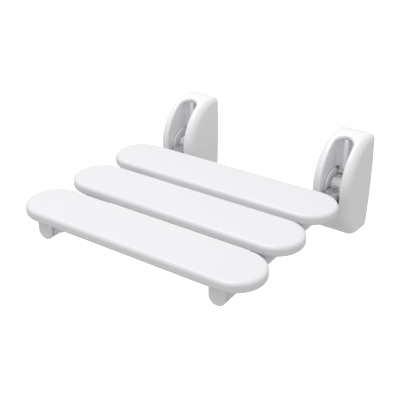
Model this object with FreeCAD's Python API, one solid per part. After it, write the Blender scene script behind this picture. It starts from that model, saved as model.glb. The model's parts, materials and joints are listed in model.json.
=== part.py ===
import FreeCAD, Part
import math
import os

# Fold down wall seat: three moulded slats on two tubular arms, hinged in two wall housings.
# Millimetres. X runs across the seat, Y towards the wall and Z up. The wall is the plane y = 0 and
# the seat stands in front of it, at negative Y. The origin is on the wall, midway between the two
# brackets, at the height of the hinge. The seat is down, ready to sit on.

Vector = FreeCAD.Vector
ACROSS = Vector(1, 0, 0)
OUTWARD = Vector(0, -1, 0)
UP = Vector(0, 0, 1)

# Slats
slat_length = 380.0
slat_width = 83.0
slat_thickness = 16.0
slat_gap = 16.0
slat_top_round = 5.5
slat_bottom_round = 4.5
slat_skin = 3.5
slat_rim = 8.0
slat_rib = 3.0
slat_rib_pitch = 38.0
slat_pad_margin = 3.0

# Arms
seat_reach = 405.5
arm_overhang = 48.0
arm_drop = 7.0
tube_diameter = 25.0
tube_wall = 1.5
saddle_height = 4.8
saddle_length = 62.0
saddle_lip = 6.0
cap_setback = 10.0
cap_length = 18.0
cap_plug_length = 24.0
cap_edge_bevel = 0.8
piece_clearance = 0.05

# Screws that go up through the tubes into the slats
slat_screw_radius = 2.4
slat_screw_hole_clearance = 0.3
slat_screw_head_radius = 4.8
slat_screw_head_height = 3.0
slat_screw_grip = 11.0

# Hinge
hinge_from_wall = 44.0
pivot_pin_radius = 6.0
pivot_pin_half_length = 26.0
running_clearance = 0.05
bush_wall = 1.95
hub_head_radius = 11.5
hub_collar = 13.0
hub_spigot_length = 36.0
hub_tail_length = 30.0
hub_tail_above = 10.0
hub_tail_below = 6.0
hub_tail_round = 4.0
hub_pin_radius = 2.5
hub_pin_from_hinge = 34.0
clip_thickness = 1.1
clip_outer_radius = 9.0
clip_mouth = 7.0
clip_play = 0.05
disc_radius = 24.5
disc_rim = 3.0
disc_recess = 0.9
disc_side_gap = 0.3
disc_seat_gap = 0.1
stop_pin_radius = 5.0
stop_sleeve_radius = 7.0
stop_gap = 0.2
stop_behind_hinge = 26.0

# Wall bracket, a steel channel inside each housing
plate_thickness = 4.0
plate_half_width = 24.0
plate_top = 70.0
plate_bottom = 77.6
plate_corner = 4.0
ear_thickness = 4.0
ear_tip_radius = 16.0
ear_root_half_height = 31.0
ear_shoulder_from_wall = 18.0
ear_bend_radius = 3.0
wall_hole_radius = 3.25
wall_hole_half_x = 13.0
wall_hole_half_z = 50.0
tab_length = 20.0
tab_half_width = 10.0

# Housing, a moulded cover over each wall bracket
housing_half_width = 32.0
housing_side_round = 12.0
housing_wall = 3.2
housing_bottom = 83.0
nose_radius = 70.6
nose_centre_from_wall = 13.5
nose_centre_height = 7.6
top_fall = 9.0
front_lean = 8.5
chin_radius = 57.0
slot_half_width = 15.75
slot_wall = 2.5
slot_back_gap = 5.5
slot_depth_from_wall = 7.0
drum_gap = 0.5
drum_wall = 2.5
tail_gap = 1.5
notch_gap = 0.3
rib_thickness = 2.5
rib_depth = 8.0
rib_height = 60.0
rib_gap = 0.3

# Screw that holds the housing on the bracket's lower tab
housing_screw_radius = 1.95
housing_screw_head_radius = 3.9
housing_screw_length = 12.0
housing_screw_from_wall = 12.0
housing_boss_radius = 6.0

# Worked out from the sizes above
arm_spacing = slat_length - 2 * arm_overhang
tube_radius = tube_diameter / 2
tube_bore = tube_radius - tube_wall
arm_half_spacing = arm_spacing / 2
arm_z = -arm_drop
slat_underside = arm_z + tube_radius + saddle_height
slat_top = slat_underside + slat_thickness
slat_pitch = slat_width + slat_gap
front_slat_y = -(seat_reach - slat_width / 2)
cap_face_y = -(seat_reach - cap_setback)
hinge_y = -hinge_from_wall
hub_half_width = tube_radius
tube_start_y = hinge_y - hub_collar
stop_y = hinge_y + stop_behind_hinge
stop_z = hub_tail_above + stop_gap + stop_sleeve_radius
slot_back_y = hinge_y - arm_drop + tube_radius + slot_back_gap
groove_centre_y = slot_back_y - slot_half_width
drum_radius = disc_radius + drum_gap
disc_inner_x = hub_half_width + disc_side_gap
disc_outer_x = slot_half_width - disc_seat_gap
clip_inner_x = plate_half_width + clip_play
tail_sweep = math.hypot(hub_tail_length, hub_tail_above) + tail_gap
far = 3 * nose_radius


def block(x0, x1, y0, y1, z0, z1):
    """A box between two corners."""
    return Part.makeBox(x1 - x0, y1 - y0, z1 - z0, Vector(x0, y0, z0))


def cross_rod(radius, half_length, y, z):
    """A round bar along X, centred on the arm's middle plane."""
    return Part.makeCylinder(radius, 2 * half_length, Vector(-half_length, y, z), ACROSS)


def cross_disc(radius, x0, x1, y=hinge_y, z=0.0):
    """A round disc along X between two planes."""
    return Part.makeCylinder(radius, x1 - x0, Vector(x0, y, z), ACROSS)


def prism(edges, direction):
    """A closed outline pushed along a direction."""
    return Part.Face(Part.Wire(edges)).extrude(direction)


def line(start, end):
    return Part.LineSegment(start, end).toShape()


def arc(start, middle, end):
    return Part.Arc(start, middle, end).toShape()


def housing_side_outline(inset):
    """Side view of the housing, moved inwards by inset: a round nose with a tangent top that falls to the
    wall, a tangent front that leans back below the nose, and a round chin into the flat bottom."""
    fall = math.radians(top_fall)
    lean = math.radians(front_lean)
    radius = nose_radius - inset
    chin = chin_radius - inset
    bottom_z = -(housing_bottom - inset)
    back_y = inset

    def on_nose(angle):
        return Vector(0, -nose_centre_from_wall + radius * math.sin(angle),
                      nose_centre_height + radius * math.cos(angle))

    top_end = on_nose(fall)
    front_end = on_nose(-(math.pi / 2 + lean))
    wall_top = Vector(0, back_y, top_end.z - (back_y - top_end.y) * math.tan(fall))
    drop = front_end.z - bottom_z
    corner = Vector(0, front_end.y + drop * math.tan(lean), bottom_z)
    reach = chin / math.tan((math.pi / 2 + lean) / 2)
    chin_start = corner + Vector(0, -math.sin(lean), math.cos(lean)) * reach
    chin_end = corner + Vector(0, reach, 0)
    chin_centre = chin_end + Vector(0, 0, chin)
    half_turn = (math.pi / 2 - lean) / 2
    chin_middle = chin_centre + Vector(0, -math.sin(half_turn), -math.cos(half_turn)) * chin
    wall_bottom = Vector(0, back_y, bottom_z)
    return [
        line(wall_top, top_end),
        arc(top_end, on_nose(-math.pi / 4), front_end),
        line(front_end, chin_start),
        arc(chin_start, chin_middle, chin_end),
        line(chin_end, wall_bottom),
        line(wall_bottom, wall_top),
    ]


def housing_form(inset):
    """The housing's full form, moved inwards by inset: the side outline across the width, with the long
    edges well rounded off, in three bands outside and in one band inside."""
    half_width = housing_half_width - inset
    form = prism(housing_side_outline(inset), ACROSS * (2 * half_width))
    form.translate(Vector(-half_width, 0, 0))
    form = form.makeChamfer(bevel_size(housing_side_round - inset), side_edges(form, inset))
    if inset > 0:
        return form
    return form.makeChamfer(second_bevel_size(housing_side_round), side_edges(form, inset))


def side_edges(form, inset):
    """The edges that run around the housing's sides, each in a plane across X, but not those at the wall."""
    return [edge for edge in form.Edges
            if edge.BoundBox.XLength < 1e-6 and edge.CenterOfMass.y < inset - 1e-3]


def bevel_size(radius):
    """Leg of the flat bevel that touches a rounding of this radius in its middle."""
    return radius * (2 - math.sqrt(2))


def second_bevel_size(radius):
    """Leg of the two further bevels that bring the first one close to the rounding."""
    return radius * (math.tan(math.pi / 8) - math.tan(math.pi / 16))


def slot_space(grow):
    """The space that the arm swings through, grown by grow: a channel with a round back that is open to
    the front and through the top, and a half round lower end about the arm when the seat is down."""
    half = slot_half_width + grow
    top = nose_radius * 2
    front_left = Vector(-half, -far, arm_z)
    front_right = Vector(half, -far, arm_z)
    back_left = Vector(-half, groove_centre_y, arm_z)
    back_right = Vector(half, groove_centre_y, arm_z)
    back = Vector(0, groove_centre_y + half, arm_z)
    channel = prism([
        line(front_left, front_right),
        line(front_right, back_right),
        arc(back_right, back, back_left),
        line(back_left, front_left),
    ], UP * top)
    lower_end = Part.makeCylinder(half, far + groove_centre_y, Vector(0, groove_centre_y, arm_z), OUTWARD)
    return channel.fuse(lower_end).removeSplitter()


def housing():
    """Moulded cover over one wall bracket, open behind, with the arm's slot in its front and top."""
    body = housing_form(0).cut(slot_space(0))
    drum_half = slot_half_width + slot_wall
    liner = slot_space(slot_wall).fuse(cross_rod(drum_radius + drum_wall, drum_half, hinge_y, 0))
    liner = liner.fuse(block(-drum_half, drum_half, groove_centre_y, slot_wall - slot_depth_from_wall, 0, far))
    boss = Part.makeCylinder(housing_boss_radius, housing_bottom,
                             Vector(0, -housing_screw_from_wall, -plate_bottom - rib_gap), -UP)
    hollow = housing_form(housing_wall).cut(liner).cut(boss)
    for side in (-1, 1):
        for height in (-rib_height, rib_height):
            inner = plate_half_width + rib_gap
            outer = housing_half_width
            rib = block(min(side * inner, side * outer), max(side * inner, side * outer),
                        -rib_depth, far, height - rib_thickness / 2, height + rib_thickness / 2)
            hollow = hollow.cut(rib)
    body = body.cut(hollow)
    body = body.cut(block(-far, far, 0, far, -far, far))
    return body.cut(slot_depth()).cut(hinge_space()).cut(housing_screw_space()).removeSplitter()


def slot_depth():
    """The slot's deep part under the housing's top, between flat side walls and back to near the wall."""
    deep = block(-slot_half_width, slot_half_width, groove_centre_y, -slot_depth_from_wall, 0, far)
    return deep.common(housing_form(housing_wall))


def hinge_space():
    """What is cut behind the slot for the hinge: a drum for the discs, a passage to the wall for the hub's
    tail and the stop, and notches through which the two cross pins enter from behind."""
    space = cross_rod(drum_radius, slot_half_width, hinge_y, 0)
    space = space.fuse(block(-slot_half_width, slot_half_width, hinge_y, far, -drum_radius, drum_radius))
    tail_half = hub_half_width + tail_gap
    tail_front_y = hinge_y - hub_tail_below - tail_gap
    space = space.fuse(block(-tail_half, tail_half, tail_front_y, far, -tail_sweep, 0))
    ear_side = plate_half_width + ear_thickness / 2
    for radius, y, z in ((pivot_pin_radius + notch_gap, hinge_y, 0),
                         (stop_pin_radius + notch_gap, stop_y, stop_z)):
        notch = block(-ear_side, ear_side, y, far, z - radius, z + radius)
        space = space.fuse(notch).fuse(cross_rod(radius, ear_side, y, z))
    return space


def housing_screw_space():
    """Countersunk hole up through the housing's bottom and its boss."""
    start = Vector(0, -housing_screw_from_wall, -housing_bottom)
    radius = housing_screw_radius + notch_gap
    head = housing_screw_head_radius + notch_gap
    hole = Part.makeCylinder(radius, housing_screw_length, start, UP)
    sink = Part.makeCone(head, radius, head - radius, start, UP)
    return hole.fuse(sink)


def housing_screw():
    """Countersunk screw from below, through the housing into the bracket's tab."""
    start = Vector(0, -housing_screw_from_wall, -housing_bottom)
    shank = Part.makeCylinder(housing_screw_radius, housing_screw_length, start, UP)
    depth = housing_screw_head_radius - housing_screw_radius
    head = Part.makeCone(housing_screw_head_radius, housing_screw_radius, depth, start, UP)
    return shank.fuse(head).removeSplitter()


def tangent_point(point, centre, radius, side):
    """Where a line from point touches a circle in the YZ plane, above it (side 1) or below it (side -1)."""
    offset = point - centre
    turn = side * math.acos(radius / offset.Length)
    y = offset.y * math.cos(turn) - offset.z * math.sin(turn)
    z = offset.y * math.sin(turn) + offset.z * math.cos(turn)
    return centre + Vector(0, y, z) * (radius / offset.Length)


def ear(side):
    """One ear of the wall bracket, tapering from the plate to a round tip about the hinge pin."""
    x = side * plate_half_width
    centre = Vector(x, hinge_y, 0)
    shoulder_top = Vector(x, -ear_shoulder_from_wall, ear_root_half_height)
    shoulder_low = Vector(x, -ear_shoulder_from_wall, -ear_root_half_height)
    top = tangent_point(shoulder_top, centre, ear_tip_radius, 1)
    low = tangent_point(shoulder_low, centre, ear_tip_radius, -1)
    tip = centre + OUTWARD * ear_tip_radius
    wall_top = Vector(x, 0, ear_root_half_height)
    wall_low = Vector(x, 0, -ear_root_half_height)
    return prism([
        line(wall_low, shoulder_low),
        line(shoulder_low, low),
        arc(low, tip, top),
        line(top, shoulder_top),
        line(shoulder_top, wall_top),
        line(wall_top, wall_low),
    ], ACROSS * (-side * ear_thickness))


def wall_bracket():
    """Steel channel: a back plate with four screw holes, two ears for the pins and a tab for the housing."""
    plate = block(-plate_half_width, plate_half_width, -plate_thickness, 0, -plate_bottom, plate_top)
    upright = [edge for edge in plate.Edges
               if abs(edge.BoundBox.YLength - plate_thickness) < 1e-6 and edge.BoundBox.XLength < 1e-6]
    bracket = plate.makeFillet(plate_corner, upright)
    for side in (-1, 1):
        bracket = bracket.fuse(ear(side))
    tab = block(-tab_half_width, tab_half_width, -tab_length, 0, -plate_bottom, -plate_bottom + plate_thickness)
    bracket = bracket.fuse(tab).removeSplitter()
    inside = plate_half_width - ear_thickness
    bends = [edge for edge in bracket.Edges
             if abs(abs(edge.CenterOfMass.x) - inside) < 1e-3
             and abs(edge.CenterOfMass.y + plate_thickness) < 1e-3
             and edge.BoundBox.ZLength > ear_root_half_height]
    bracket = bracket.makeFillet(ear_bend_radius, bends)
    bracket = bracket.cut(cross_rod(pivot_pin_radius + running_clearance, far, hinge_y, 0))
    bracket = bracket.cut(cross_rod(stop_pin_radius + piece_clearance, far, stop_y, stop_z))
    for x in (-wall_hole_half_x, wall_hole_half_x):
        for z in (-wall_hole_half_z, wall_hole_half_z):
            hole = Part.makeCylinder(wall_hole_radius, plate_thickness, Vector(x, 0, z), OUTWARD)
            bracket = bracket.cut(hole)
    tapped = Part.makeCylinder(housing_screw_radius + piece_clearance, plate_thickness,
                               Vector(0, -housing_screw_from_wall, -plate_bottom), UP)
    return bracket.cut(tapped)


def pivot_pin():
    """Plain hinge pin, a little longer than the bracket is wide."""
    return cross_rod(pivot_pin_radius, pivot_pin_half_length, hinge_y, 0)


def pin_clips():
    """The two open spring rings that grip one hinge pin just outside the bracket's ears."""
    clips = []
    for side in (-1, 1):
        start = side * clip_inner_x
        end = start + side * clip_thickness
        ring = cross_disc(clip_outer_radius, min(start, end), max(start, end))
        bore = cross_disc(pivot_pin_radius, -far, far)
        mouth = block(-far, far, hinge_y - clip_mouth / 2, hinge_y + clip_mouth / 2, -far, 0)
        clips.append(ring.cut(bore).cut(mouth))
    return clips


def hinge_discs():
    """The two moulded discs that keep the arm in the middle of its slot, each with a raised rim."""
    discs = []
    for side in (-1, 1):
        near = side * disc_inner_x
        outer = side * disc_outer_x
        low, high = min(near, outer), max(near, outer)
        disc = cross_disc(disc_radius, low, high)
        floor = near + side * disc_recess
        disc = disc.cut(cross_disc(disc_radius - disc_rim, min(near, floor), max(near, floor)))
        discs.append(disc.cut(cross_disc(pivot_pin_radius + running_clearance, -far, far)))
    return discs


def stop_pin():
    """Cross pin that takes the load of the seat, riveted in the ears."""
    return cross_rod(stop_pin_radius, plate_half_width, stop_y, stop_z)


def stop_sleeve():
    """Sleeve on the stop pin that the hub's tail bears on."""
    sleeve = cross_rod(stop_sleeve_radius, hub_half_width, stop_y, stop_z)
    return sleeve.cut(cross_rod(stop_pin_radius + piece_clearance, hub_half_width, stop_y, stop_z))


def arm_hub():
    """Steel end of the arm: a round head on the hinge pin, a spigot in the tube and a tail for the stop."""
    head = cross_rod(hub_head_radius, hub_half_width, hinge_y, 0)
    start = Vector(0, hinge_y, arm_z)
    collar = Part.makeCylinder(tube_radius, hub_collar, start, OUTWARD)
    spigot = Part.makeCylinder(tube_bore - piece_clearance, hub_collar + hub_spigot_length, start, OUTWARD)
    tail = block(-hub_half_width, hub_half_width, hinge_y, hinge_y + hub_tail_length,
                 -hub_tail_below, hub_tail_above)
    ends = [edge for edge in tail.Edges
            if edge.BoundBox.YLength < 1e-6 and edge.BoundBox.ZLength < 1e-6
            and edge.CenterOfMass.y > hinge_y + 1]
    tail = tail.makeFillet(hub_tail_round, ends)
    hub = head.fuse(collar).fuse(spigot).fuse(tail).removeSplitter()
    hub = hub.cut(cross_rod(pivot_pin_radius + running_clearance + bush_wall + piece_clearance / 2,
                            far, hinge_y, 0))
    return hub.cut(cross_rod(hub_pin_radius + piece_clearance, far, hinge_y - hub_pin_from_hinge, arm_z))


def pivot_bush():
    """Plain bearing bush in the hub."""
    outer = cross_rod(pivot_pin_radius + running_clearance + bush_wall, hub_half_width, hinge_y, 0)
    return outer.cut(cross_rod(pivot_pin_radius + running_clearance, hub_half_width, hinge_y, 0))


def hub_pin():
    """Cross pin that locks the tube on the hub's spigot."""
    chord = math.sqrt(tube_radius ** 2 - hub_pin_radius ** 2)
    return cross_rod(hub_pin_radius, chord, hinge_y - hub_pin_from_hinge, arm_z)


def slat_centre_y(row):
    """Y of a slat's centre line, from row 0 at the front to row 2 by the wall."""
    return front_slat_y + row * slat_pitch


def slat_screw_places():
    """Y of each screw in one arm, one to a slat."""
    return [slat_centre_y(row) for row in range(3)]


def screw_holes(radius, bottom, top):
    """The screw holes of one arm between two heights, as one cutting shape."""
    holes = [Part.makeCylinder(radius, top - bottom, Vector(0, y, bottom), UP) for y in slat_screw_places()]
    return Part.makeCompound(holes)


def arm_screw_holes():
    """Clearance holes for the screws, from under the arm up to the slats."""
    return screw_holes(slat_screw_radius + slat_screw_hole_clearance, arm_z - tube_radius, slat_underside)


def arm_tube():
    """Round steel tube from the hub's collar to the end cap's flange, drilled for the screws."""
    end_y = cap_face_y + cap_length
    length = tube_start_y - end_y
    start = Vector(0, tube_start_y, arm_z)
    tube = Part.makeCylinder(tube_radius, length, start, OUTWARD)
    tube = tube.cut(Part.makeCylinder(tube_bore, length, start, OUTWARD))
    tube = tube.cut(cross_rod(hub_pin_radius + piece_clearance, far, hinge_y - hub_pin_from_hinge, arm_z))
    return tube.cut(arm_screw_holes())


def u_block(y0, y1):
    """A block as wide as the tube: round below, with straight sides up to the slat."""
    rod = Part.makeCylinder(tube_radius, y1 - y0, Vector(0, y1, arm_z), OUTWARD)
    return rod.fuse(block(-tube_radius, tube_radius, y0, y1, arm_z, slat_underside)).removeSplitter()


def arm_end_cap():
    """Moulded end of the arm: a U shaped block under the front slat, with a plug in the tube."""
    back_y = cap_face_y + cap_length
    body = u_block(cap_face_y, back_y)
    face_edges = [edge for edge in body.Edges
                  if edge.BoundBox.YLength < 1e-6 and edge.CenterOfMass.y < cap_face_y + 1e-3
                  and edge.CenterOfMass.z < slat_underside - 1e-3]
    body = body.makeChamfer(cap_edge_bevel, face_edges)
    plug = Part.makeCylinder(tube_bore - piece_clearance, cap_plug_length, Vector(0, back_y, arm_z), -OUTWARD)
    return body.fuse(plug).cut(arm_screw_holes())


def saddle(row):
    """Moulded saddle between the tube and one slat. The front one stops at the end cap."""
    centre_y = slat_centre_y(row)
    front_y = max(centre_y - saddle_length / 2, cap_face_y + cap_length)
    back_y = centre_y + saddle_length / 2
    body = block(-tube_radius, tube_radius, front_y, back_y, arm_z + saddle_lip, slat_underside)
    body = body.cut(Part.makeCylinder(tube_radius, back_y - front_y, Vector(0, back_y, arm_z), OUTWARD))
    return body.cut(arm_screw_holes())


def slat_screws():
    """The screws of one arm, one solid each."""
    screws = []
    for y in slat_screw_places():
        head_z = arm_z - tube_radius - slat_screw_head_height
        length = slat_underside + slat_screw_grip - head_z
        shank = Part.makeCylinder(slat_screw_radius, length, Vector(0, y, head_z), UP)
        head = Part.makeCylinder(slat_screw_head_radius, slat_screw_head_height, Vector(0, y, head_z), UP)
        screws.append(shank.fuse(head).removeSplitter())
    return screws


def stadium(length, width, y, z0, z1):
    """A bar with full round ends, between two heights."""
    half = width / 2
    straight = length / 2 - half
    return prism([
        line(Vector(-straight, y - half, z0), Vector(straight, y - half, z0)),
        arc(Vector(straight, y - half, z0), Vector(length / 2, y, z0), Vector(straight, y + half, z0)),
        line(Vector(straight, y + half, z0), Vector(-straight, y + half, z0)),
        arc(Vector(-straight, y + half, z0), Vector(-length / 2, y, z0), Vector(-straight, y - half, z0)),
    ], UP * (z1 - z0))


def level_edges(form, low, high):
    """The level edges that lie between two heights."""
    return [edge for edge in form.Edges
            if edge.BoundBox.ZLength < 1e-6 and low - 1e-3 < edge.CenterOfMass.z < high + 1e-3]


def slat(row):
    """One moulded slat: rounded off all round, full round ends, ribbed underneath, solid over the saddles."""
    y = slat_centre_y(row)
    bar = stadium(slat_length, slat_width, y, slat_underside, slat_top)
    bar = bar.makeChamfer(bevel_size(slat_bottom_round), level_edges(bar, slat_underside, slat_underside))
    bar = bar.makeChamfer(bevel_size(slat_top_round), level_edges(bar, slat_top, slat_top))
    rounded_from = slat_top - bevel_size(slat_top_round)
    bar = bar.makeChamfer(second_bevel_size(slat_top_round), level_edges(bar, rounded_from, slat_top))
    bar = bar.cut(slat_pockets(y))
    pilot = slat_screw_radius + piece_clearance
    for side in (-1, 1):
        holes = screw_holes(pilot, slat_underside, slat_underside + slat_screw_grip + 1)
        holes.translate(Vector(side * arm_half_spacing, 0, 0))
        bar = bar.cut(holes)
    return bar


def slat_pockets(y):
    """The pockets between the ribs under a slat, in two rows, kept clear of the pads over the arms."""
    field = stadium(slat_length - 2 * slat_rim, slat_width - 2 * slat_rim, y, slat_underside, slat_top - slat_skin)
    columns = int(slat_length / slat_rib_pitch / 2) + 1
    for column in range(-columns, columns + 1):
        x = column * slat_rib_pitch
        rib = block(x - slat_rib / 2, x + slat_rib / 2, y - slat_width, y + slat_width, 0, slat_top)
        field = field.cut(rib)
    field = field.cut(block(-slat_length, slat_length, y - slat_rib / 2, y + slat_rib / 2, 0, slat_top))
    pad = tube_radius + slat_pad_margin
    for side in (-1, 1):
        x = side * arm_half_spacing
        field = field.cut(block(x - pad, x + pad, y - slat_width, y + slat_width, 0, slat_top))
    return field


def write(name, solids, places=(0.0,)):
    """Save one node: its solids, moved across to each of the places."""
    moved = []
    for x in places:
        for solid in solids:
            copy = solid.copy()
            copy.translate(Vector(x, 0, 0))
            moved.append(copy)
    shape = moved[0] if len(moved) == 1 else Part.makeCompound(moved)
    shape.exportStep("parts/" + name + ".step")
    print(name, "solids", len(shape.Solids), "valid", shape.isValid(), "volume", round(shape.Volume))


def main():
    os.makedirs("parts", exist_ok=True)
    arms = {"left": -arm_half_spacing, "right": arm_half_spacing}
    handed = {
        "wall_bracket": wall_bracket(),
        "housing": housing(),
        "arm_hub": arm_hub(),
        "arm_tube": arm_tube(),
        "arm_end_cap": arm_end_cap(),
        "saddle_front": saddle(0),
        "saddle_middle": saddle(1),
        "saddle_rear": saddle(2),
    }
    for name, solid in handed.items():
        for side, x in arms.items():
            write(name + "_" + side, [solid], [x])
    hardware = {
        "housing_screws": [housing_screw()],
        "pivot_pins": [pivot_pin()],
        "pin_clips": pin_clips(),
        "hinge_discs": hinge_discs(),
        "stop_pins": [stop_pin()],
        "stop_sleeves": [stop_sleeve()],
        "pivot_bushes": [pivot_bush()],
        "hub_pins": [hub_pin()],
        "slat_screws": slat_screws(),
    }
    for name, solids in hardware.items():
        write(name, solids, arms.values())
    for row, place in enumerate(("front", "middle", "rear")):
        write("slat_" + place, [slat(row)])


main()
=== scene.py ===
import json
import math

import bmesh
import bpy
import numpy as np
from mathutils import Matrix, Vector


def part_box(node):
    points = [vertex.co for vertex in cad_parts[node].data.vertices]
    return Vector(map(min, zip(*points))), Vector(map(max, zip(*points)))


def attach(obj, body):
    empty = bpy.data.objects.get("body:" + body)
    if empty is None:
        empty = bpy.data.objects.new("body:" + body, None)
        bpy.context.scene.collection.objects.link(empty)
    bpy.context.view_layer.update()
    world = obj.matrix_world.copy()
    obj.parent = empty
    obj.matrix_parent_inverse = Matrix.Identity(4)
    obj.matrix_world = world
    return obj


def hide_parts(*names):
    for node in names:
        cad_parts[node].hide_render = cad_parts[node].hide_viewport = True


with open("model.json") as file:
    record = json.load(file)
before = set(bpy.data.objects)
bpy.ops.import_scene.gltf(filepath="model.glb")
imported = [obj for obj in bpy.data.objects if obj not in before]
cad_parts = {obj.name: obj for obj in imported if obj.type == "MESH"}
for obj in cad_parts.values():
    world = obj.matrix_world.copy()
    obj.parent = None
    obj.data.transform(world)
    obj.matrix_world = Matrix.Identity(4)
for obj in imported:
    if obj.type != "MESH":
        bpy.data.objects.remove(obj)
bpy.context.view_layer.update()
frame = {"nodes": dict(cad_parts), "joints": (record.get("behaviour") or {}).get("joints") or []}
nodes = frame["nodes"]

MM = 0.001
SIDES = {"left": -1, "right": 1}
ROWS = ("front", "middle", "rear")


def node_box(node):
    """Lowest and highest corner of a frame node, in millimetres."""
    low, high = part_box(node)
    return np.array(low) / MM, np.array(high) / MM


# Places read from the frame, in millimetres
slat_low, slat_high = node_box("slat_front")
tube_low, tube_high = node_box("arm_tube_right")
cap_front_y = node_box("arm_end_cap_right")[0][1]
housing_low, housing_high = node_box("housing_right")
disc_low, disc_high = node_box("hinge_discs")
screws_low, screws_high = node_box("slat_screws")

arm_x = (tube_low[0] + tube_high[0]) / 2
arm_z = (tube_low[2] + tube_high[2]) / 2
tube_radius = (tube_high[0] - tube_low[0]) / 2
hinge_y = frame["joints"][0]["pos_m"][1] / MM

# Slats
slat_half_length = (slat_high[0] - slat_low[0]) / 2
slat_half_width = (slat_high[1] - slat_low[1]) / 2
slat_straight = slat_half_length - slat_half_width
slat_top_round = 6.0
slat_low_round = 4.0
slat_crown = 0.5
slat_rim = 8.0
slat_skin = 3.5
slat_rib = 3.0
slat_rib_pitch = 38.0
slat_rib_edge = 0.6
slat_pad_half = tube_radius + 3.0
slat_pad_edge = 0.8
rib_root = 0.3

# Arms
tube_wall = 1.5
tube_edge = 0.35
tube_lip = 1.0
cap_edge_round = 1.6
cap_back_edge = 0.35
cap_face_ring = 6.0
cap_flange = 5.0
cap_joint = 1.0
cap_overlap = 0.2
plug_gap = 0.05
plug_bevel = 0.8
saddle_lip = 6.0
screw_radius = 2.4
screw_head_radius = 4.8
screw_head_height = 3.0
screw_face_radius = 2.6
screw_dome = 1.9
screw_socket = 1.6
screw_socket_depth = 1.6

# Discs beside the hub
disc_radius = (disc_high[2] - disc_low[2]) / 2
disc_rim = 3.0
disc_recess = 0.9
disc_gap = 0.3
disc_inner = tube_radius + disc_gap
disc_bore = 6.05

# Housings
half_width = (housing_high[0] - housing_low[0]) / 2
nose_radius = 70.6
nose_y = housing_low[1] + nose_radius
nose_z = housing_high[2] - nose_radius
bottom_z = housing_low[2]
top_fall = math.radians(9.0)
front_lean = math.radians(8.5)
chin_radius = 57.0
side_round = 12.0
wall_round = 8.0
bottom_round = 11.0
wall_round_reach = 40.0
shell_wall = 3.2
side_middle_z = -8.0

# Radius of the arc that draws the housing's sides in, the height where they are widest, and how far beyond
# the slot that starts
side_bow = 1700.0
side_bow_height = -10.0
side_bow_margin = 2.6

# Rise of the arched top, half of it at the wall and all of it from crown_reach on, and fall of the bottom
# at the wall, none of it from heel_reach on
crown = 3.0
crown_reach = 36.0
heel = 4.0
heel_reach = 50.0

# The slot for the arm, and the drum about the hinge that closes it
slot_half = 15.75
slot_wall = 2.5
slot_back_gap = 5.5
slot_rim = 2.4
inner_rim = 0.5
groove_y = hinge_y + arm_z + tube_radius + slot_back_gap - slot_half
slot_depth_y = -26.0
slot_depth_round = 9.0
slot_rib_y = -35.5
slot_rib_width = 6.5
slot_rib_round = 1.6
slot_apron_low = 12.0
slot_apron_wall = 1.5
drum_radius = 25.0

# Ribs and the screw's boss inside the housing
rib_height = 60.0
rib_depth = 8.0
rib_half_thickness = 1.25
rib_inner_x = 24.3
rib_outer_x = half_width - 4.5
thin_edge = 0.3
screw_from_wall = 12.0
boss_radius = 6.0
boss_bore = 2.3
boss_low = bottom_z + 1.5
boss_top = bottom_z + 5.1

# Points along the slot's edge: round its rear end, down its side, and along the level part of that side
rear_points = 26
side_points = 72
level_points = 32
slot_rear = slice(None, rear_points)
slot_side = slice(rear_points - 1, rear_points + side_points - 1)
slot_low = slice(rear_points + side_points - 2, None)


# Shapes: points on grids, in millimetres

def quarter(count):
    """Angles from zero to a quarter turn."""
    return np.linspace(0, math.pi / 2, count)


def grid_quads(rows, columns):
    """Corner numbers of the quads between neighbouring points of a grid."""
    row, column = np.meshgrid(np.arange(rows - 1), np.arange(columns - 1), indexing="ij")
    corner = row * columns + column
    return np.stack([corner, corner + columns, corner + columns + 1, corner + 1], -1).reshape(-1, 4)


def rounded(corners, radii, steps):
    """A polyline with its inner corners rounded: each corner becomes a quadratic blend between the two
    points that lie one radius away from it along its two sides."""
    corners = np.asarray(corners, float)
    blend = np.linspace(0, 1, steps)[:, None]
    points = [corners[:1]]
    for before, corner, after, radius in zip(corners[:-2], corners[1:-1], corners[2:], radii):
        start = corner + (before - corner) / np.linalg.norm(before - corner) * radius
        end = corner + (after - corner) / np.linalg.norm(after - corner) * radius
        middle = corner if radius > 0 else start
        points.append((1 - blend) ** 2 * start + 2 * blend * (1 - blend) * middle + blend ** 2 * end)
    points.append(corners[-1:])
    return np.concatenate(points)


def lathe(profile, centre, axis, steps):
    """A profile of (place along the axis, radius) turned once about an X, Y or Z axis through centre."""
    turn = np.linspace(0, 2 * math.pi, steps + 1)
    along, radius = np.asarray(profile, float).T
    ring = np.stack([np.broadcast_to(along[:, None], (len(along), steps + 1)),
                     radius[:, None] * np.cos(turn), radius[:, None] * np.sin(turn)], -1)
    order = {"X": (0, 1, 2), "Y": (2, 0, 1), "Z": (1, 2, 0)}[axis]
    return ring[..., order] + np.asarray(centre, float)


def bar_along_y(x, width, y0, y1, z_top, z_low, edge):
    """A bar along Y: a rectangle in XZ with its two lower corners rounded, carried from y0 to y1."""
    half = width / 2
    section = rounded([(x - half, z_top), (x - half, z_low), (x + half, z_low), (x + half, z_top)],
                      (edge, edge), 4)
    section = np.concatenate([section, section[:1]])
    along = np.array([y0, y1])
    side = np.stack(np.broadcast_arrays(section[:, None, 0], along, section[:, None, 1]), -1)
    ends = [np.stack([side[:, row], np.broadcast_to(side[:, row].mean(0), side[:, row].shape)], 1)
            for row in (0, 1)]
    return [side, *ends]


def bar_along_x(y, width, x0, x1, z_top, z_low, edge):
    """The same bar, carried along X."""
    return [patch[..., (1, 0, 2)] for patch in bar_along_y(y, width, x0, x1, z_top, z_low, edge)]


# Pieces

merge_distance = 4e-6
soft_edge = 0.4


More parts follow.
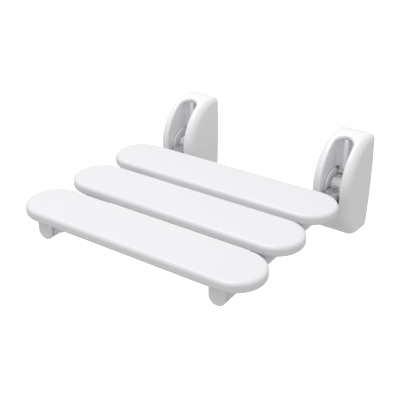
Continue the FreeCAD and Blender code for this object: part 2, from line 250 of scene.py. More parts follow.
def finish_piece(mesh, name, body, material, replaced, crease):
    """Links a mesh as a piece in the frame, smooth except where it turns by more than crease."""
    work = bmesh.new()
    work.from_mesh(mesh)
    bmesh.ops.remove_doubles(work, verts=work.verts, dist=merge_distance)
    bmesh.ops.dissolve_degenerate(work, edges=work.edges, dist=1e-6)
    bmesh.ops.recalc_face_normals(work, faces=work.faces)
    for face in work.faces:
        face.smooth = True
    for edge in work.edges:
        edge.smooth = len(edge.link_faces) == 2 and edge.calc_face_angle(0.0) < crease
    work.to_mesh(mesh)
    work.free()
    piece = bpy.data.objects.new(name, mesh)
    bpy.context.scene.collection.objects.link(piece)
    mesh.materials.clear()
    mesh.materials.append(material)
    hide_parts(*replaced)
    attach(piece, body)
    return piece


def build(name, patches, body, material, replaced):
    """One piece from grids of points: every grid's quads in one mesh, with shared edges merged."""
    points = np.concatenate([patch.reshape(-1, 3) for patch in patches]) * MM
    starts = np.cumsum([0] + [patch.shape[0] * patch.shape[1] for patch in patches[:-1]])
    quads = np.concatenate([grid_quads(*patch.shape[:2]) + start for patch, start in zip(patches, starts)])
    mesh = bpy.data.meshes.new(name)
    mesh.from_pydata(points, [], quads)
    return finish_piece(mesh, name, body, material, replaced, math.radians(38))


def dressed(node, body, material, edge=0.0):
    """A frame node's own shape, merged, with smooth round faces and, if asked, softened edges."""
    mesh = nodes[node].data.copy()
    work = bmesh.new()
    work.from_mesh(mesh)
    bmesh.ops.remove_doubles(work, verts=work.verts, dist=merge_distance)
    bmesh.ops.dissolve_limit(work, angle_limit=math.radians(0.5), verts=work.verts, edges=work.edges)
    work.to_mesh(mesh)
    work.free()
    piece = finish_piece(mesh, node + "_finish", body, material, [node], math.radians(32))
    if edge > 0:
        bevel = piece.modifiers.new("soft_edges", "BEVEL")
        bevel.width = edge * MM
        bevel.segments = 2
        bevel.limit_method = "ANGLE"
        bevel.angle_limit = math.radians(50)
        bevel.harden_normals = True
    return piece


# Materials

def new_material(name, colour, roughness, metallic=0.0):
    """A principled material whose even values sit on the shader's own sockets."""
    material = bpy.data.materials.new(name)
    material.use_nodes = True
    shader = material.node_tree.nodes["Principled BSDF"]
    shader.inputs["Base Color"].default_value = (*colour, 1.0)
    shader.inputs["Roughness"].default_value = roughness
    shader.inputs["Metallic"].default_value = metallic
    return material, material.node_tree.nodes, material.node_tree.links, shader


def noise(tree_nodes, links, scale, detail=3.0, stretch=(1.0, 1.0, 1.0)):
    """Noise on Object coordinates, in cycles to the metre, stretched along the axes."""
    place = tree_nodes.new("ShaderNodeTexCoord")
    mapping = tree_nodes.new("ShaderNodeMapping")
    mapping.inputs["Scale"].default_value = stretch
    texture = tree_nodes.new("ShaderNodeTexNoise")
    texture.inputs["Scale"].default_value = scale
    texture.inputs["Detail"].default_value = detail
    links.new(place.outputs["Object"], mapping.inputs["Vector"])
    links.new(mapping.outputs["Vector"], texture.inputs["Vector"])
    return texture.outputs["Fac"]


def spread(tree_nodes, links, value, low, high):
    """Maps a noise value onto a range."""
    change = tree_nodes.new("ShaderNodeMapRange")
    change.inputs["From Min"].default_value = 0.3
    change.inputs["From Max"].default_value = 0.7
    change.inputs["To Min"].default_value = low
    change.inputs["To Max"].default_value = high
    links.new(value, change.inputs["Value"])
    return change.outputs["Result"]


def tint(tree_nodes, links, value, first, second):
    """Mixes two close colours by a value."""
    mix = tree_nodes.new("ShaderNodeMix")
    mix.data_type = "RGBA"
    mix.inputs["A"].default_value = (*first, 1.0)
    mix.inputs["B"].default_value = (*second, 1.0)
    links.new(value, mix.inputs["Factor"])
    return mix.outputs["Result"]


def relief(tree_nodes, links, shader, height, strength, depth):
    """Fine relief on a surface, with its depth in metres."""
    bump = tree_nodes.new("ShaderNodeBump")
    bump.inputs["Strength"].default_value = strength
    bump.inputs["Distance"].default_value = depth
    links.new(height, bump.inputs["Height"])
    links.new(bump.outputs["Normal"], shader.inputs["Normal"])


def moulded_plastic(name, first, second, rough_low, rough_high, grain):
    """Moulded plastic or paint: a faint cloudiness in the colour, uneven gloss, and a fine grain."""
    material, tree_nodes, links, shader = new_material(name, first, rough_low)
    cloud = noise(tree_nodes, links, scale=14.0)
    links.new(tint(tree_nodes, links, cloud, first, second), shader.inputs["Base Color"])
    patches = noise(tree_nodes, links, scale=55.0, detail=4.0)
    links.new(spread(tree_nodes, links, patches, rough_low, rough_high), shader.inputs["Roughness"])
    fine = noise(tree_nodes, links, scale=grain, detail=2.0)
    relief(tree_nodes, links, shader, fine, strength=0.08, depth=0.00002)
    shader.inputs["IOR"].default_value = 1.5
    return material


def polished_steel(name, first, second, rough_low, rough_high, stretch, depth):
    """Steel with the fine lines of its polishing, drawn out along the axis that stretch leaves small."""
    material, tree_nodes, links, shader = new_material(name, first, rough_low, 1.0)
    lines = noise(tree_nodes, links, scale=900.0, stretch=stretch)
    links.new(spread(tree_nodes, links, lines, rough_low, rough_high), shader.inputs["Roughness"])
    stain = noise(tree_nodes, links, scale=26.0)
    links.new(tint(tree_nodes, links, stain, first, second), shader.inputs["Base Color"])
    relief(tree_nodes, links, shader, lines, strength=0.25, depth=depth)
    return material


slat_plastic = moulded_plastic("slat_white_plastic", (0.82, 0.82, 0.842), (0.81, 0.81, 0.83),
                               0.20, 0.25, 1500.0)
housing_plastic = moulded_plastic("housing_white_plastic", (0.905, 0.905, 0.92), (0.895, 0.895, 0.91),
                                  0.22, 0.28, 1300.0)
cap_plastic = moulded_plastic("cap_white_plastic", (0.84, 0.85, 0.87), (0.82, 0.83, 0.85),
                              0.28, 0.36, 1500.0)
saddle_plastic = moulded_plastic("saddle_satin_plastic", (0.78, 0.79, 0.81), (0.75, 0.76, 0.78),
                                 0.40, 0.52, 1700.0)
disc_plastic = moulded_plastic("disc_satin_plastic", (0.92, 0.92, 0.93), (0.90, 0.90, 0.91),
                               0.36, 0.46, 1700.0)
bush_plastic = moulded_plastic("bush_dark_plastic", (0.05, 0.05, 0.055), (0.035, 0.035, 0.04),
                               0.42, 0.52, 1700.0)
sleeve_plastic = moulded_plastic("sleeve_dark_plastic", (0.07, 0.07, 0.075), (0.05, 0.05, 0.055),
                                 0.45, 0.55, 1700.0)
hub_paint = moulded_plastic("hub_painted_steel", (0.74, 0.74, 0.755), (0.70, 0.70, 0.715),
                            0.38, 0.50, 1100.0)
tube_steel = polished_steel("tube_polished_steel", (0.72, 0.73, 0.75), (0.67, 0.68, 0.70),
                            0.06, 0.14, (1.0, 0.02, 1.0), 0.000004)
plate_steel = polished_steel("bracket_rolled_steel", (0.55, 0.56, 0.57), (0.48, 0.49, 0.50),
                             0.34, 0.48, (1.0, 1.0, 0.03), 0.00001)
pin_steel = polished_steel("pin_ground_steel", (0.62, 0.63, 0.64), (0.56, 0.57, 0.58),
                           0.20, 0.30, (0.04, 1.0, 1.0), 0.000005)
screw_steel = polished_steel("screw_steel", (0.66, 0.67, 0.69), (0.60, 0.61, 0.62),
                             0.22, 0.32, (1.0, 1.0, 1.0), 0.000005)


# Slats

def stadium_ring(inset):
    """A bar's outline with full round ends, moved inwards by inset: straight sides, half circle ends."""
    radius = slat_half_width - inset
    turn = np.linspace(-math.pi / 2, math.pi / 2, 40)
    along = np.linspace(-slat_straight, slat_straight, 24)
    right = np.stack([slat_straight + radius * np.cos(turn), radius * np.sin(turn)], -1)
    back = np.stack([along[::-1], np.full(24, radius)], -1)
    front = np.stack([along, np.full(24, -radius)], -1)
    return np.concatenate([front[:-1], right, back[1:-1], -right, front[:1]])


def slat_profile(low, top):
    """Inset and height from the middle of the top, over the rounded edge, round the underside's rim and up
    to the ceiling of the hollow."""
    inset = np.linspace(slat_half_width, slat_top_round, 8)
    rise = slat_crown * (1 - ((slat_half_width - inset) / (slat_half_width - slat_top_round)) ** 2)
    edge_top = top - slat_crown
    turn = quarter(10)
    over = np.stack([slat_top_round * (1 - np.sin(turn)), edge_top - slat_top_round * (1 - np.cos(turn))], -1)
    under = np.stack([slat_low_round * (1 - np.cos(turn)), low + slat_low_round * (1 - np.sin(turn))], -1)
    ceiling = top - slat_skin
    inside = rounded([under[-1], (slat_rim, low), (slat_rim, ceiling), (slat_half_width, ceiling)],
                     (0.8, 1.5), 5)
    return np.concatenate([np.stack([inset, edge_top + rise], -1), over[1:], under, inside[1:]])


def slat(row):
    """One slat: the profile carried round the outline, with the ribs and the pads over the arms inside."""
    node = "slat_" + row
    low, high = node_box(node)
    middle_y = (low[1] + high[1]) / 2
    rings = [np.insert(stadium_ring(inset), 2, z, axis=1) for inset, z in slat_profile(low[2], high[2])]
    patches = [np.stack(rings) + np.array([0, middle_y, 0])]
    reach = slat_half_width - slat_rim + rib_root
    ceiling = high[2] - slat_skin + rib_root
    for column in range(-4, 5):
        x = column * slat_rib_pitch
        ends = math.sqrt(max(reach ** 2 - max(abs(x) - slat_straight, 0) ** 2, 0))
        patches += bar_along_y(x, slat_rib, middle_y - ends, middle_y + ends, ceiling, low[2], slat_rib_edge)
    patches += bar_along_x(middle_y, slat_rib, -slat_half_length + slat_rim, slat_half_length - slat_rim,
                           ceiling, low[2], slat_rib_edge)
    for side in SIDES.values():
        patches += bar_along_y(side * arm_x, 2 * slat_pad_half, middle_y - reach, middle_y + reach,
                               ceiling, low[2], slat_pad_edge)
    return build(node + "_finish", patches, "seat", slat_plastic, [node])


for row in ROWS:
    slat(row)


# Arms

def tube(side):
    """The arm's tube, from behind the end cap's flange: a wall with softened ends, turned about its axis."""
    y0, y1 = cap_front_y + cap_flange, tube_high[1]
    inner = tube_radius - tube_wall
    wall = rounded([(y0 + tube_lip, inner), (y0, inner), (y0, tube_radius), (y1, tube_radius),
                    (y1, inner), (y0 + tube_lip, inner)], (0.2, tube_edge, tube_edge, 0.2), 4)
    patch = lathe(wall, (SIDES[side] * arm_x, 0, arm_z), "Y", 128)
    return build("arm_tube_" + side + "_finish", [patch], "seat", tube_steel,
                 ["arm_tube_" + side])


def cap_ring(inset, x, top):
    """The cap's U outline, moved inwards: a half circle below, straight sides and a level top."""
    radius = tube_radius - inset
    turn = np.linspace(0, -math.pi, 48)
    low = np.stack([x + radius * np.cos(turn), arm_z + radius * np.sin(turn)], -1)
    rise = np.linspace(arm_z, top, 6)
    right = np.stack([np.full(6, x + radius), rise[::-1]], -1)
    left = np.stack([np.full(6, x - radius), rise], -1)
    return np.concatenate([right[:-1], low, left[1:], right[:1]])


def end_cap(side):
    """The arm's moulded end: a U shaped flange with a rounded face, from the U outline moved inwards; the
    round plug in the tube; and the block between the tube and the slat, which is level above and hollowed
    below by the tube."""
    node = "arm_end_cap_" + side
    low, high = node_box(node)
    x = (low[0] + high[0]) / 2
    front = low[1]
    back = front + cap_flange - cap_joint
    turn = quarter(8)
    insets = np.concatenate([[tube_radius * 0.999, cap_face_ring], cap_edge_round * (1 - np.sin(turn)),
                             [0.0, cap_back_edge]])
    places = np.concatenate([[front, front], front + cap_edge_round * (1 - np.cos(turn)),
                             [back - cap_back_edge, back]])
    rings = [np.insert(cap_ring(inset, x, high[2]), 1, y, axis=1) for inset, y in zip(insets, places)]
    closing = np.broadcast_to(np.array([x, back, arm_z]), rings[-1].shape)
    flange = np.stack(rings + [closing])

    plug_radius = tube_radius - tube_wall - plug_gap
    plug = lathe([(back - tube_lip, 0), (back - tube_lip, plug_radius), (high[1] - plug_bevel, plug_radius),
                  (high[1], plug_radius - plug_bevel), (high[1], 0)], (x, 0, arm_z), "Y", 64)

    lip = math.asin(saddle_lip / tube_radius)
    arch = np.linspace(lip, math.pi - lip, 40)
    section = np.stack([x + tube_radius * np.cos(arch), arm_z + tube_radius * np.sin(arch)], -1)
    corners = [(x - tube_radius, high[2]), (x + tube_radius, high[2])]
    section = np.concatenate([section, corners, section[:1]])
    ends = np.array([back - cap_overlap, tube_low[1]])
    block = np.stack(np.broadcast_arrays(section[:, None, 0], ends, section[:, None, 1]), -1)
    middles = np.stack([[x, y, high[2] - 0.5] for y in ends])
    faces = [np.stack([block[:, row], np.broadcast_to(middles[row], block[:, row].shape)], 1)
             for row in (0, 1)]
    patches = [flange, plug, block, *faces]
    return build(node + "_finish", patches, "seat", cap_plastic, [node])


def slat_screws():
    """The screws under the arms, as radii and heights carried round a circle: a hexagonal socket, a domed
    head and a plain shank."""
    head_z = screws_low[2]
    seat_z = head_z + screw_head_height
    tip_z = screws_high[2]
    turn = np.linspace(0, 2 * math.pi, 49)
    circle = np.ones(len(turn))
    hexagon = screw_socket / np.cos((turn % (math.pi / 3)) - math.pi / 6)
    socket = np.stack([0 * circle, hexagon, hexagon * 1.001])
    socket_z = head_z + screw_socket_depth
    dome = quarter(7)
    head = np.outer(screw_face_radius + (screw_head_radius - screw_face_radius) * np.sin(dome), circle)
    dome_z = head_z + screw_dome * (1 - np.cos(dome))
    shank = np.outer([screw_head_radius, screw_radius, screw_radius, 0], circle)
    radii = np.concatenate([socket, head, shank])
    heights = np.concatenate([[socket_z, socket_z, head_z], dome_z, [seat_z, seat_z, tip_z, tip_z]])
    screw = np.stack(np.broadcast_arrays(radii * np.cos(turn), radii * np.sin(turn), heights[:, None]), -1)
    patches = []
    for side in SIDES.values():
        for row in ROWS:
            low, high = node_box("slat_" + row)
            patches.append(screw + np.array([side * arm_x, (low[1] + high[1]) / 2, 0]))
    return build("slat_screws_finish", patches, "seat", screw_steel, ["slat_screws"])


for side in SIDES:
    tube(side)
    end_cap(side)
    dressed("arm_hub_" + side, "seat", hub_paint, soft_edge)
    for row in ROWS:
        dressed("saddle_" + row + "_" + side, "seat", saddle_plastic, soft_edge)
slat_screws()
dressed("pivot_bushes", "seat", bush_plastic)
dressed("hub_pins", "seat", pin_steel)


# Hinges

def hinge_discs():
    """The discs beside each hub: a flat back, a raised rim with rounded edges and a sunk face."""
    outer = disc_high[0] - arm_x
    sunk = disc_inner + disc_recess
    profile = rounded([(outer, disc_bore), (outer, disc_radius), (disc_inner, disc_radius),
                       (disc_inner, disc_radius - disc_rim), (sunk, disc_radius - disc_rim),
                       (sunk, disc_bore), (outer, disc_bore)], (0.3, 0.6, 0.5, 0.4, 0.1), 5)
    patches = []
    for side in SIDES.values():
        for face in (-1, 1):
            turned = profile * np.array([face, 1])
            patches.append(lathe(turned, (side * arm_x, hinge_y, 0), "X", 96))
    return build("hinge_discs_finish", patches, "wall_brackets", disc_plastic, ["hinge_discs"])


hinge_discs()
for side in SIDES:
    dressed("wall_bracket_" + side, "wall_brackets", plate_steel, soft_edge)
for node, material in {"pivot_pins": pin_steel, "pin_clips": pin_steel, "stop_pins": pin_steel,
                       "stop_sleeves": sleeve_plastic, "housing_screws": screw_steel}.items():
    dressed(node, "wall_brackets", material)


# Housings

nose_top = nose_z + nose_radius
nose_start_y = nose_y + nose_radius * math.sin(top_fall)
top_start_z = nose_z + nose_radius * math.cos(top_fall) + nose_start_y * math.tan(top_fall)
top_length = -nose_start_y / math.cos(top_fall)
nose_turn = top_fall + math.pi / 2 + front_lean
nose_end = np.array([nose_y - nose_radius * math.cos(front_lean),
                     nose_z - nose_radius * math.sin(front_lean)])
chin_reach = chin_radius / math.tan((math.pi / 2 + front_lean) / 2)
front_length = (nose_end[1] - bottom_z) / math.cos(front_lean) - chin_reach
front_down = np.array([math.sin(front_lean), -math.cos(front_lean)])
chin_start = nose_end + front_down * front_length
chin_turn = math.pi / 2 - front_lean
chin_centre = np.array([chin_start[0] + chin_radius * math.cos(front_lean), bottom_z + chin_radius])
stations_at = np.cumsum([0, top_length, nose_radius * nose_turn, front_length, chin_radius * chin_turn,
                         -chin_centre[0]])


def side_outline(s, inset=0.0):
    """The housing's side view at distance s along it from the wall, moved inwards: (y, z) of the falling
    top, the round nose, the leaning front, the round chin and the level bottom."""
    s, inset = np.broadcast_arrays(np.asarray(s, float), inset)
    nose_angle = top_fall - (s - stations_at[1]) / nose_radius
    chin_angle = -(math.pi / 2 + front_lean) - (s - stations_at[3]) / chin_radius
    part = [s <= stations_at[1], s <= stations_at[2], s <= stations_at[3], s <= stations_at[4]]
    to_wall = inset * math.tan(top_fall) * (1 - s / stations_at[1])
    y = np.select(part, [
        (to_wall - s) * math.cos(top_fall) - inset * math.sin(top_fall),
        nose_y + (nose_radius - inset) * np.sin(nose_angle),
        nose_end[0] + (s - stations_at[2]) * math.sin(front_lean) + inset * math.cos(front_lean),
        chin_centre[0] + (chin_radius - inset) * np.sin(chin_angle),
    ], chin_centre[0] + (s - stations_at[4]))
    z = np.select(part, [
        top_start_z + (s - to_wall) * math.sin(top_fall) - inset * math.cos(top_fall),
        nose_z + (nose_radius - inset) * np.cos(nose_angle),
        nose_end[1] - (s - stations_at[2]) * math.cos(front_lean) + inset * math.sin(front_lean),
        chin_centre[1] + (chin_radius - inset) * np.cos(chin_angle),
    ], bottom_z + inset)
    return y, z


def station_above(y, inset=0.0):
    """Where the nose, moved inwards, passes over a place y."""
    return stations_at[1] + nose_radius * (top_fall - np.arcsin((y - nose_y) / (nose_radius - inset)))


def station_ahead(z, inset=0.0):
    """Where the front, moved inwards, passes a height z: on the nose, or on the leaning line below it."""
    radius = nose_radius - inset
    line_from = nose_z - radius * math.sin(front_lean)
    on_nose = stations_at[1] + nose_radius * (top_fall + np.arccos(np.clip((z - nose_z) / radius, -1, 1)))
    return np.where(z >= line_from, on_nose, stations_at[2] + (line_from - z) / math.cos(front_lean))


def slot_plan(half, back_y, back_round):
    """Plan of the slot's rear end as half an ellipse, from its middle round to its side: (x, y)."""
    turn = quarter(rear_points)
    return half * np.sin(turn), back_y + back_round * (np.cos(turn) - 1)


def slot_edge(half, back_y, back_round, inset):
    """Half of the slot's edge on the housing's face moved inwards: round the rear end, straight down the
    side, and round under the arm. Gives x and station."""
    turn = quarter(rear_points)
    x, y = slot_plan(half, back_y, back_round)
    top = station_above(y, inset)
    low = station_ahead(arm_z - half * np.sin(turn), inset)
    side = np.linspace(top[-1], low[0], side_points)[1:-1]
    across = np.concatenate([x, np.full(len(side), half), half * np.cos(turn)])
    return across, np.concatenate([top, side, low])


def slot_floor(half, back_y, back_round, radius):
    """Where the slot's walls end inside, along the same edge: level round the rear end, forward to the drum
    about the hinge, and down its front: (x, y, z)."""
    turn = quarter(rear_points)
    x, y = slot_plan(half, back_y, back_round)
    rear = np.stack([x, y, np.full(rear_points, radius)], -1)
    z_low = arm_z - half * np.sin(turn)
    low = np.stack([half * np.cos(turn), hinge_y - np.sqrt(radius ** 2 - z_low ** 2), z_low], -1)
    level = np.linspace(y[-1], hinge_y, level_points)[1:]
    drum_end = math.pi - math.asin(arm_z / radius)
    around = np.linspace(math.pi / 2, drum_end, side_points - level_points + 1)[1:-1]
    side_y = np.concatenate([level, hinge_y + radius * np.cos(around)])
    side_z = np.concatenate([np.full(len(level), radius), radius * np.sin(around)])
    side = np.stack([np.full(side_points - 2, half), side_y, side_z], -1)
    return np.concatenate([rear, side, low])


def bow_in(points):
    """Draws the sides in towards the top and bottom along a wide arc, leaving the slot as it is, arches
    the top across the width, and lets the bottom fall a little towards the wall."""
    x, y, z = np.moveaxis(points, -1, 0)
    bow_from = slot_half + side_bow_margin
    share = np.clip((x - bow_from) / (half_width - bow_from), 0, 1)
    drop = (z - side_bow_height) ** 2 / (2 * side_bow)
    arch = 1 - (x / half_width) ** 2
    height = np.clip(z / nose_top, 0, 1)
    depth = np.clip(z / bottom_z, 0, 1)
    rise = crown * (1 - 0.5 * np.clip(1 + y / crown_reach, 0, 1))
    near_wall = np.clip(1 + y / heel_reach, 0, 1)
    moved_x = x - drop * share * share * (3 - 2 * share)
    moved_z = z + rise * arch * height * height - heel * depth ** 3 * near_wall
    return np.stack([moved_x, y, moved_z], -1)


def corner_round(s):
    """Radius of the long rounded edge at distance s: smaller at the wall's top and along the bottom."""
    near_wall = np.clip(1 - s / wall_round_reach, 0, 1)
    near_bottom = np.clip((s - stations_at[3]) / (stations_at[4] - stations_at[3]), 0, 1)
    ease = near_bottom * near_bottom * (3 - 2 * near_bottom)
    return side_round - (side_round - wall_round) * near_wall - (side_round - bottom_round) * ease


def shell(inset, edge, rim):
    """Half of the housing's outer or inner face: across from the slot or the middle, round the long edge,
    and over the side to the wall. The slot's rim drops in a quarter circle of radius rim."""
    edge_x, edge_s = edge
    near = rim * (1 - np.cos(quarter(8)))
    end = stations_at[-1]
    above = np.concatenate([np.linspace(0, edge_s[0] - rim, 26)[:-1], (edge_s[0] - near)[::-1][:-1]])
    below = np.concatenate([(edge_s[-1] + near)[1:], np.linspace(edge_s[-1] + rim, end, 50)[1:]])
    stations = np.concatenate([above, edge_s, below])
    start_x = np.concatenate([np.zeros(len(above)), edge_x, np.zeros(len(below))])[:, None]
    radius = corner_round(stations)[:, None]
    flat_end = half_width - radius
    across = np.linspace(0, 1, 9)[1:]
    x_flat = np.concatenate([start_x + near, start_x + rim + (flat_end - start_x - rim) * across], 1)
    gap = np.hypot(x_flat[:, :, None] - edge_x, stations[:, None, None] - edge_s).min(-1)
    drop = rim - np.sqrt(np.maximum(rim ** 2 - (rim - np.minimum(gap, rim)) ** 2, 0))
    y, z = side_outline(stations[:, None], inset + drop)
    face = np.stack([x_flat, y, z], -1)
    turn = quarter(14)[1:]
    y, z = side_outline(stations[:, None], inset + (radius - inset) * (1 - np.cos(turn)))
    corner = np.stack([flat_end + (radius - inset) * np.sin(turn), y, z], -1)
    closing = np.linspace(1, 0, 12)[1:, None]
    last = corner[:, -1:]
    middle = np.array([half_width - inset, 0.0, side_middle_z])
    side = middle + (last - middle) * closing
    return bow_in(np.concatenate([face, corner, side], 1)), slice(len(above), len(above) + len(edge_s))


def between(first, second, count):
    """Straight rows of points from one line of points to another."""
    share = np.linspace(0, 1, count)[:, None, None]
    return first + (second - first) * share


def inner_height(y):
    """Height of the inner face over a place y near the top."""
    return side_outline(station_above(y, shell_wall), shell_wall)[1]


def slot_walls(rim_line, floor_line):
    """The slot's walls from its rim to its floor: through the top's thickness, back under it and down round
    the rear end; then the flat side wall, as a blend of its four borders; then straight under the arm."""
    x, y = slot_plan(slot_half, groove_y + slot_half, slot_half)
    rear_y = slot_plan(slot_half, slot_depth_y, slot_depth_round)[1]
    share = np.linspace(0, 1, 14)[:, None]
    under_y = y + (rear_y - y) * share
    under = np.stack([np.broadcast_to(x, under_y.shape), under_y, inner_height(under_y)], -1)
    down = between(under[-1], floor_line[slot_rear], 12)[1:]
    rear = np.concatenate([rim_line[None, slot_rear], bow_in(under), bow_in(down)])
    rear[-1] = floor_line[slot_rear]
    count = len(rear)
    step = np.linalg.norm(np.diff(rear[:, -1], axis=0), axis=-1)
    along = (np.concatenate([[0], np.cumsum(step)]) / step.sum())[:, None, None]
    rims, floors = rim_line[slot_side], floor_line[slot_side]
    straight = rims + (floors - rims) * along
    fade = np.linspace(1, 0, len(rims))[:, None] ** 2
    side = straight + (rear[:, -1:] - straight[:, :1]) * fade
    return [rear, side, between(rim_line[slot_low], floor_line[slot_low], count)]


def housing_half():
    """One half of the housing: outer face, the slot's walls, their ends and backs, the inner face, and the
    edges that stand on the wall."""
    back_half = slot_half + slot_wall
    outer, cut = shell(0.0, slot_edge(slot_half, groove_y + slot_half, slot_half, 0.0), slot_rim)
    inner, inner_cut = shell(shell_wall, slot_edge(back_half, slot_depth_y + slot_wall, slot_depth_round,
                                                   shell_wall), inner_rim)
    floor_line = slot_floor(slot_half, slot_depth_y, slot_depth_round, drum_radius)
    back_line = slot_floor(back_half, slot_depth_y + slot_wall, slot_depth_round, drum_radius + slot_wall)
    return [outer, inner, *slot_walls(outer[cut, 0], floor_line), between(floor_line, back_line, 2),
            between(back_line, inner[inner_cut, 0], 6), between(outer[0], inner[0], 2),
            between(outer[-1], inner[-1], 2)]


def slot_rib():
    """Upright rib with a rounded front, in the middle of the slot's rear end, that the folded arm faces."""
    half = slot_rib_width / 2
    root_y = slot_depth_y + 1
    foot_z = drum_radius - 0.5
    plan = rounded([(-half, root_y), (-half, slot_rib_y), (half, slot_rib_y), (half, root_y)],
                   (slot_rib_round, slot_rib_round), 7)
    top_z = inner_height(plan[:, 1]) + rib_root
    z = foot_z + (top_z - foot_z) * np.linspace(0, 1, 8)[:, None]
    upright = np.stack(np.broadcast_arrays(plan[:, 0], plan[:, 1], z), -1)
    foot = np.broadcast_to(np.array([0, root_y, foot_z]), upright[0].shape)
    return [bow_in(upright), np.stack([upright[0], foot])]


def slot_apron():
    """Small wall from the slot's rear end down behind the hub, between the discs."""
    return bar_along_y(0.0, 2 * disc_inner - 0.4, slot_depth_y, slot_depth_y + slot_apron_wall,
                       drum_radius + 0.5, slot_apron_low, 0.5)


def housing(side):
    """One housing: both halves, with the ribs and the screw's boss behind."""
    node = "housing_" + side
    place = np.array([SIDES[side] * arm_x, 0, 0])
    half = housing_half()
    patches = [patch * np.array([mirror, 1, 1]) + place for mirror in (1, -1) for patch in half]
    for mirror in (1, -1):
        for height in (-rib_height, rib_height):
            rib = bar_along_x(-rib_depth / 2, rib_depth, rib_inner_x, rib_outer_x,
                              height + rib_half_thickness, height - rib_half_thickness, thin_edge)
            patches += [patch * np.array([mirror, 1, 1]) + place for patch in rib]
        cheek = bar_along_y(mirror * (slot_half + slot_wall / 2), slot_wall, hinge_y, 0.0, drum_radius,
                            -drum_radius, thin_edge)
        patches += [patch + place for patch in cheek]
    patches += [patch + place for patch in slot_rib() + slot_apron()]
    boss = lathe([(boss_low, boss_radius), (boss_top, boss_radius), (boss_top, boss_bore),
                  (boss_low, boss_bore), (boss_low, boss_radius)],
                 place + np.array([0, -screw_from_wall, 0]), "Z", 48)
    return build(node + "_finish", patches + [boss], "wall_brackets", housing_plastic, [node])


for side in SIDES:
    housing(side)


# Setting, in metres: pale floor far below, soft studio light, the photograph's camera

floor_height = -0.50
floor_reach = 6.0
floor_grey = 0.5
floor_glow_seen = 0.85
floor_glow_mirrored = 0.12
surround_low = 0.50
surround_high = 0.80
lamp_place = Vector((-0.3, -0.45, 1.7))
lamp_target = Vector((0.0, -0.2, 0.0))
lamp_width = 1.6
lamp_depth = 1.2
lamp_power = 13.0
camera_place = Vector((0.55428, -1.04818, 0.5308))
camera_azimuth = math.radians(33.80)
camera_elevation = math.radians(27.66)
camera_roll = math.radians(0.30)
camera_lens = 69.37


def floor():
    """A pale floor that stays white to the camera and still takes the object's shadow."""
    mesh = bpy.data.meshes.new("floor")
    corners = [(floor_reach * x, floor_reach * y, floor_height)
               for x, y in ((-1, -1), (1, -1), (1, 1), (-1, 1))]
    mesh.from_pydata(corners, [], [(0, 1, 2, 3)])
    grey = (floor_grey, floor_grey, floor_grey)
    material, tree_nodes, links, shader = new_material("pale_floor", grey, 0.8)
    rays = tree_nodes.new("ShaderNodeLightPath")
    mirrored = tree_nodes.new("ShaderNodeMath")
    mirrored.operation = "MULTIPLY"
    mirrored.inputs[1].default_value = floor_glow_mirrored
    links.new(rays.outputs["Is Glossy Ray"], mirrored.inputs[0])
    glow = tree_nodes.new("ShaderNodeMath")
    glow.operation = "MULTIPLY_ADD"
    glow.inputs[1].default_value = floor_glow_seen
    links.new(rays.outputs["Is Camera Ray"], glow.inputs[0])
    links.new(mirrored.outputs[0], glow.inputs[2])
    shader.inputs["Emission Color"].default_value = (1, 1, 1, 1)
    links.new(glow.outputs[0], shader.inputs["Emission Strength"])
    mesh.materials.append(material)
    plane = bpy.data.objects.new("floor", mesh)
    bpy.context.scene.collection.objects.link(plane)


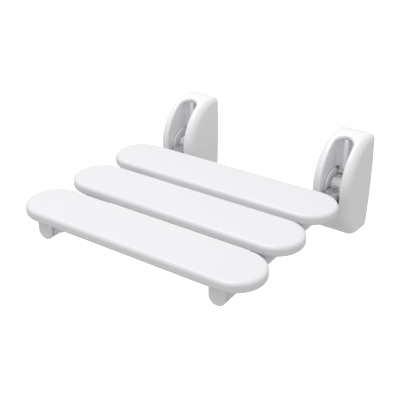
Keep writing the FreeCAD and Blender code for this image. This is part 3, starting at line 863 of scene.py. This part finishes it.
def studio_light():
    """A white surround that is weaker from below, and one large soft lamp above and in front."""
    world = bpy.data.worlds.new("studio")
    bpy.context.scene.world = world
    world.use_nodes = True
    tree_nodes, links = world.node_tree.nodes, world.node_tree.links
    ground = tree_nodes["Background"]
    direction = tree_nodes.new("ShaderNodeTexCoord")
    split = tree_nodes.new("ShaderNodeSeparateXYZ")
    links.new(direction.outputs["Generated"], split.inputs["Vector"])
    rise = tree_nodes.new("ShaderNodeMapRange")
    rise.inputs["From Min"].default_value = -0.6
    rise.inputs["From Max"].default_value = 0.9
    rise.inputs["To Min"].default_value = surround_low
    rise.inputs["To Max"].default_value = surround_high
    links.new(split.outputs["Z"], rise.inputs["Value"])
    rays = tree_nodes.new("ShaderNodeLightPath")
    seen = tree_nodes.new("ShaderNodeMath")
    seen.operation = "MAXIMUM"
    links.new(rays.outputs["Is Camera Ray"], seen.inputs[0])
    links.new(rays.outputs["Is Transmission Ray"], seen.inputs[1])
    strength = tree_nodes.new("ShaderNodeMix")
    links.new(seen.outputs[0], strength.inputs["Factor"])
    links.new(rise.outputs["Result"], strength.inputs["A"])
    strength.inputs["B"].default_value = 1.0
    ground.inputs["Color"].default_value = (1, 1, 1, 1)
    links.new(strength.outputs["Result"], ground.inputs["Strength"])

    lamp_data = bpy.data.lights.new("overhead_softbox", "AREA")
    lamp_data.shape = "RECTANGLE"
    lamp_data.size = lamp_width
    lamp_data.size_y = lamp_depth
    lamp_data.energy = lamp_power
    lamp = bpy.data.objects.new("overhead_softbox", lamp_data)
    lamp.location = lamp_place
    lamp.rotation_euler = (lamp_target - lamp_place).to_track_quat("-Z", "Y").to_euler()
    bpy.context.scene.collection.objects.link(lamp)


def photograph_camera():
    """The camera where the photograph was taken from, turned by azimuth, elevation and a slight roll."""
    data = bpy.data.cameras.new("camera")
    data.lens = camera_lens
    data.sensor_width = 36.0
    data.clip_start = 0.05
    data.clip_end = 50.0
    look = Vector((-math.sin(camera_azimuth) * math.cos(camera_elevation),
                   math.cos(camera_azimuth) * math.cos(camera_elevation), -math.sin(camera_elevation)))
    level = Vector((math.cos(camera_azimuth), math.sin(camera_azimuth), 0.0))
    upward = level.cross(look)
    right = level * math.cos(camera_roll) + upward * math.sin(camera_roll)
    over = upward * math.cos(camera_roll) - level * math.sin(camera_roll)
    camera = bpy.data.objects.new("camera", data)
    turn = Matrix((right, over, -look)).transposed()
    camera.matrix_world = Matrix.Translation(camera_place) @ turn.to_4x4()
    bpy.context.scene.collection.objects.link(camera)
    bpy.context.scene.camera = camera


floor()
studio_light()
photograph_camera()
bpy.context.scene.view_settings.view_transform = "Standard"
